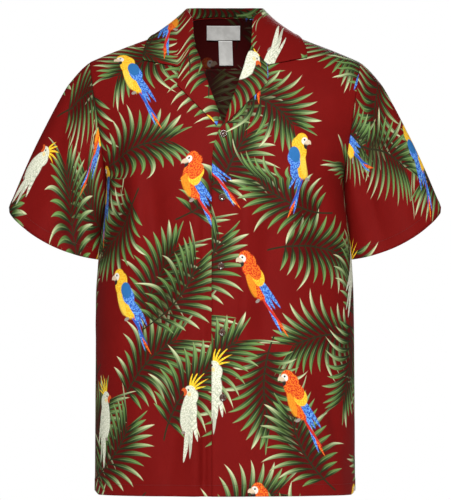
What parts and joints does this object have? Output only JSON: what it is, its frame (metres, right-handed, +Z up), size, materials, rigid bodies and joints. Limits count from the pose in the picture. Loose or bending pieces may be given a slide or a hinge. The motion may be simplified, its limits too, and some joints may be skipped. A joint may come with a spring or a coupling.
{
  "type": "hawaiian shirt",
  "caption": "Short-sleeved camp-collar shirt with a tropical print, filled out as worn: open neck with turned-back lapels, buttoned front, wide sleeves and straight hem.",
  "frame": {"origin": "middle of the neck, level with the two high shoulder points, where the wearer holds the shirt up", "axes": "+Z up along the wearer, the front faces -Y, +X is the wearer's left"},
  "size_m": [0.7064, 0.2953, 0.7899],
  "materials": {
    "printed_cloth": "smooth printed cotton poplin, dark red ground with green fronds and bright birds",
    "button": "polished dark brown shell look",
    "label": "plain pale woven tape"
  },
  "bodies": {
    "root": {"back": "printed_cloth", "yoke": "printed_cloth", "right_front": "printed_cloth", "left_front": "printed_cloth", "right_sleeve": "printed_cloth", "left_sleeve": "printed_cloth", "collar": "printed_cloth", "right_lapel": "printed_cloth", "left_lapel": "printed_cloth", "button_1": "button", "button_2": "button", "button_3": "button", "button_4": "button", "button_5": "button", "neck_label": "label", "care_label": "label"}
  },
  "joints": []
}
